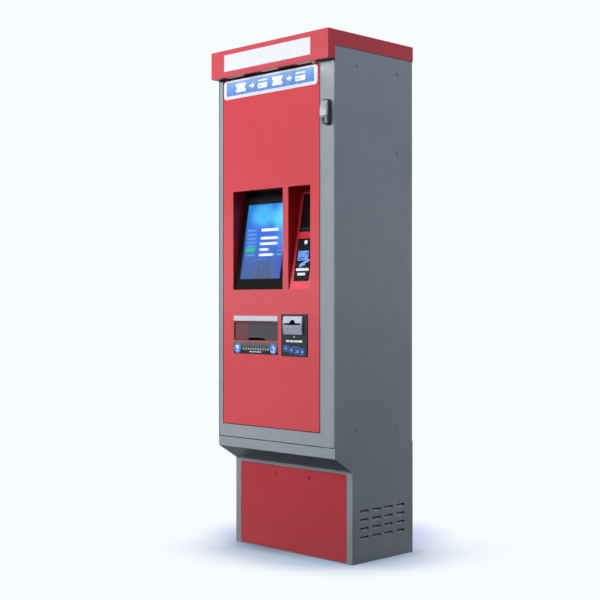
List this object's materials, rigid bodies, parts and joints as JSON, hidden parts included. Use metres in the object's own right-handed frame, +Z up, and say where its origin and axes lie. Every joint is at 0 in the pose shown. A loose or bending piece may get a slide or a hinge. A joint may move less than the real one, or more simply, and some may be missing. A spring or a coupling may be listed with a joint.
{
  "type": "ticket vending kiosk",
  "caption": "Free-standing ticket kiosk: grey cabinet on a set-back plinth, red hinged door with touch screen, card point, ticket tray and note acceptor, under a lit canopy.",
  "frame": {"origin": "on the floor, in the middle of the outer box seen from above", "axes": "+Z up, front with the screen facing -Y, +X to the right of someone facing the screen"},
  "size_m": [0.655, 0.489, 2],
  "materials": {
    "grey_paint": "satin powder coat, fine grain",
    "red_paint": "satin powder coat",
    "dark_paint": "matt powder coat",
    "zinc_steel": "bare zinc-plated sheet",
    "bright_steel": "fine brushed",
    "black_plastic": "moulded, fine grain",
    "charcoal_plastic": "moulded, fine grain",
    "grey_plastic": "moulded, fine grain",
    "white_plastic": "moulded",
    "label_print": "printed label under clear film",
    "sign_print": "printed sign, semi-gloss",
    "lit_diffuser": "opal diffuser, lit from behind",
    "screen_glass": "clear hardened glass",
    "screen_panel": "lit display panel",
    "smoked_plastic": "smoked clear plastic",
    "seal_rubber": "soft rubber",
    "lock_brass": "plain turned",
    "roll_paper": "uncoated ticket paper"
  },
  "bodies": {
    "cabinet": {"left_side_panel": "grey_paint", "right_side_panel": "grey_paint", "rear_panel": "grey_paint", "plinth_rear_cover": "grey_paint", "roof_panel": "grey_paint", "base_plate": "dark_paint", "cable_gland": "black_plastic", "front_skirt": "grey_paint", "plinth_front": "grey_paint", "plinth_cover": "red_paint", "frame_posts": "zinc_steel", "frame_rails": "zinc_steel", "shelves": "zinc_steel", "lock_jamb": "zinc_steel", "lock_side_seal": "seal_rubber", "door_pivots": "bright_steel", "side_screws": "bright_steel", "canopy_shell": "red_paint", "canopy_soffit": "dark_paint", "sign_diffuser": "lit_diffuser", "sign_light_board": "white_plastic", "canopy_lamps": "lit_diffuser", "control_computer": "charcoal_plastic", "power_supply": "grey_plastic", "breaker_block": "white_plastic", "ticket_printer": "charcoal_plastic", "roll_bracket": "zinc_steel", "fan_housing": "black_plastic"},
    "door": {"door_frame": "grey_paint", "door_fascia": "red_paint", "door_sign_plate": "sign_print", "pivot_bushes": "black_plastic", "screen_hood": "red_paint", "touch_glass": "screen_glass", "display_panel": "screen_panel", "monitor_chassis": "grey_plastic", "card_hood": "red_paint", "card_terminal": "black_plastic", "card_label": "label_print", "tray_bin": "dark_paint", "tray_trim": "bright_steel", "tray_label": "label_print", "note_plate": "charcoal_plastic", "note_bezel": "bright_steel", "note_validator": "charcoal_plastic", "handle_escutcheon": "black_plastic", "rod_guides": "black_plastic"},
    "left_lock": {"plinth_lock_left": "bright_steel"},
    "right_lock": {"plinth_lock_right": "bright_steel"},
    "breaker_switch": {"breaker_toggle": "black_plastic"},
    "platen": {"platen_roller": "seal_rubber"},
    "roll": {"ticket_roll": "roll_paper"},
    "fan": {"fan_rotor": "black_plastic"},
    "flap": {"dispense_flap": "smoked_plastic"},
    "cash_box": {"note_cash_box": "grey_plastic"},
    "handle": {"handle_lever": "bright_steel", "lock_cam": "zinc_steel"},
    "key_plug": {"lock_plug": "lock_brass"},
    "upper_rod": {"upper_lock_rod": "bright_steel"},
    "lower_rod": {"lower_lock_rod": "bright_steel"}
  },
  "joints": [
    {"name": "door_hinge", "type": "hinge", "parent": "cabinet", "child": "door", "pos_m": [-0.29, -0.195, 1.169], "axis": [0, 0, -1], "range_deg": [0, 100]},
    {"name": "handle_turn", "type": "hinge", "parent": "door", "child": "handle", "pos_m": [0.289, -0.2215, 1.724], "axis": [0, 1, 0], "range_deg": [0, 90]},
    {"name": "upper_rod_slide", "type": "slide", "parent": "door", "child": "upper_rod", "axis": [0, 0, 1], "range_m": [0, 0.0227]},
    {"name": "lower_rod_slide", "type": "slide", "parent": "door", "child": "lower_rod", "axis": [0, 0, -1], "range_m": [0, 0.0226]},
    {"name": "key_turn", "type": "hinge", "parent": "door", "child": "key_plug", "pos_m": [0.289, -0.2215, 1.666], "axis": [0, 1, 0], "range_deg": [0, 90]},
    {"name": "flap_swing", "type": "hinge", "parent": "door", "child": "flap", "pos_m": [-0.106, -0.1985, 0.908], "axis": [1, 0, 0], "range_deg": [0, 75]},
    {"name": "cash_box_slide", "type": "slide", "parent": "door", "child": "cash_box", "axis": [0, 1, 0], "range_m": [0, 0.1]},
    {"name": "left_lock_turn", "type": "hinge", "parent": "cabinet", "child": "left_lock", "pos_m": [-0.093, -0.1105, 0.308], "axis": [0, 1, 0], "range_deg": [0, 90]},
    {"name": "right_lock_turn", "type": "hinge", "parent": "cabinet", "child": "right_lock", "pos_m": [0.093, -0.1105, 0.308], "axis": [0, 1, 0], "range_deg": [0, 90]},
    {"name": "breaker_tip", "type": "hinge", "parent": "cabinet", "child": "breaker_switch", "pos_m": [0.19, -0.0233, 0.588], "axis": [1, 0, 0], "range_deg": [0, 40]},
    {"name": "roll_spin", "type": "hinge", "parent": "cabinet", "child": "roll", "pos_m": [-0.1695, 0.1007, 1.016], "axis": [1, 0, 0], "continuous": true},
    {"name": "platen_spin", "type": "hinge", "parent": "cabinet", "child": "platen", "pos_m": [-0.1695, -0.0473, 1.008], "axis": [1, 0, 0], "continuous": true},
    {"name": "fan_spin", "type": "hinge", "parent": "cabinet", "child": "fan", "pos_m": [0, 0.2265, 1.76], "axis": [0, 1, 0], "continuous": true}
  ],
  "couplings": [
    {"joint": "handle_turn", "follows": "lower_rod_slide", "rad_per_m": 69.42},
    {"joint": "upper_rod_slide", "follows": "lower_rod_slide", "ratio": 1},
    {"joint": "platen_spin", "follows": "roll_spin", "ratio": 7}
  ]
}
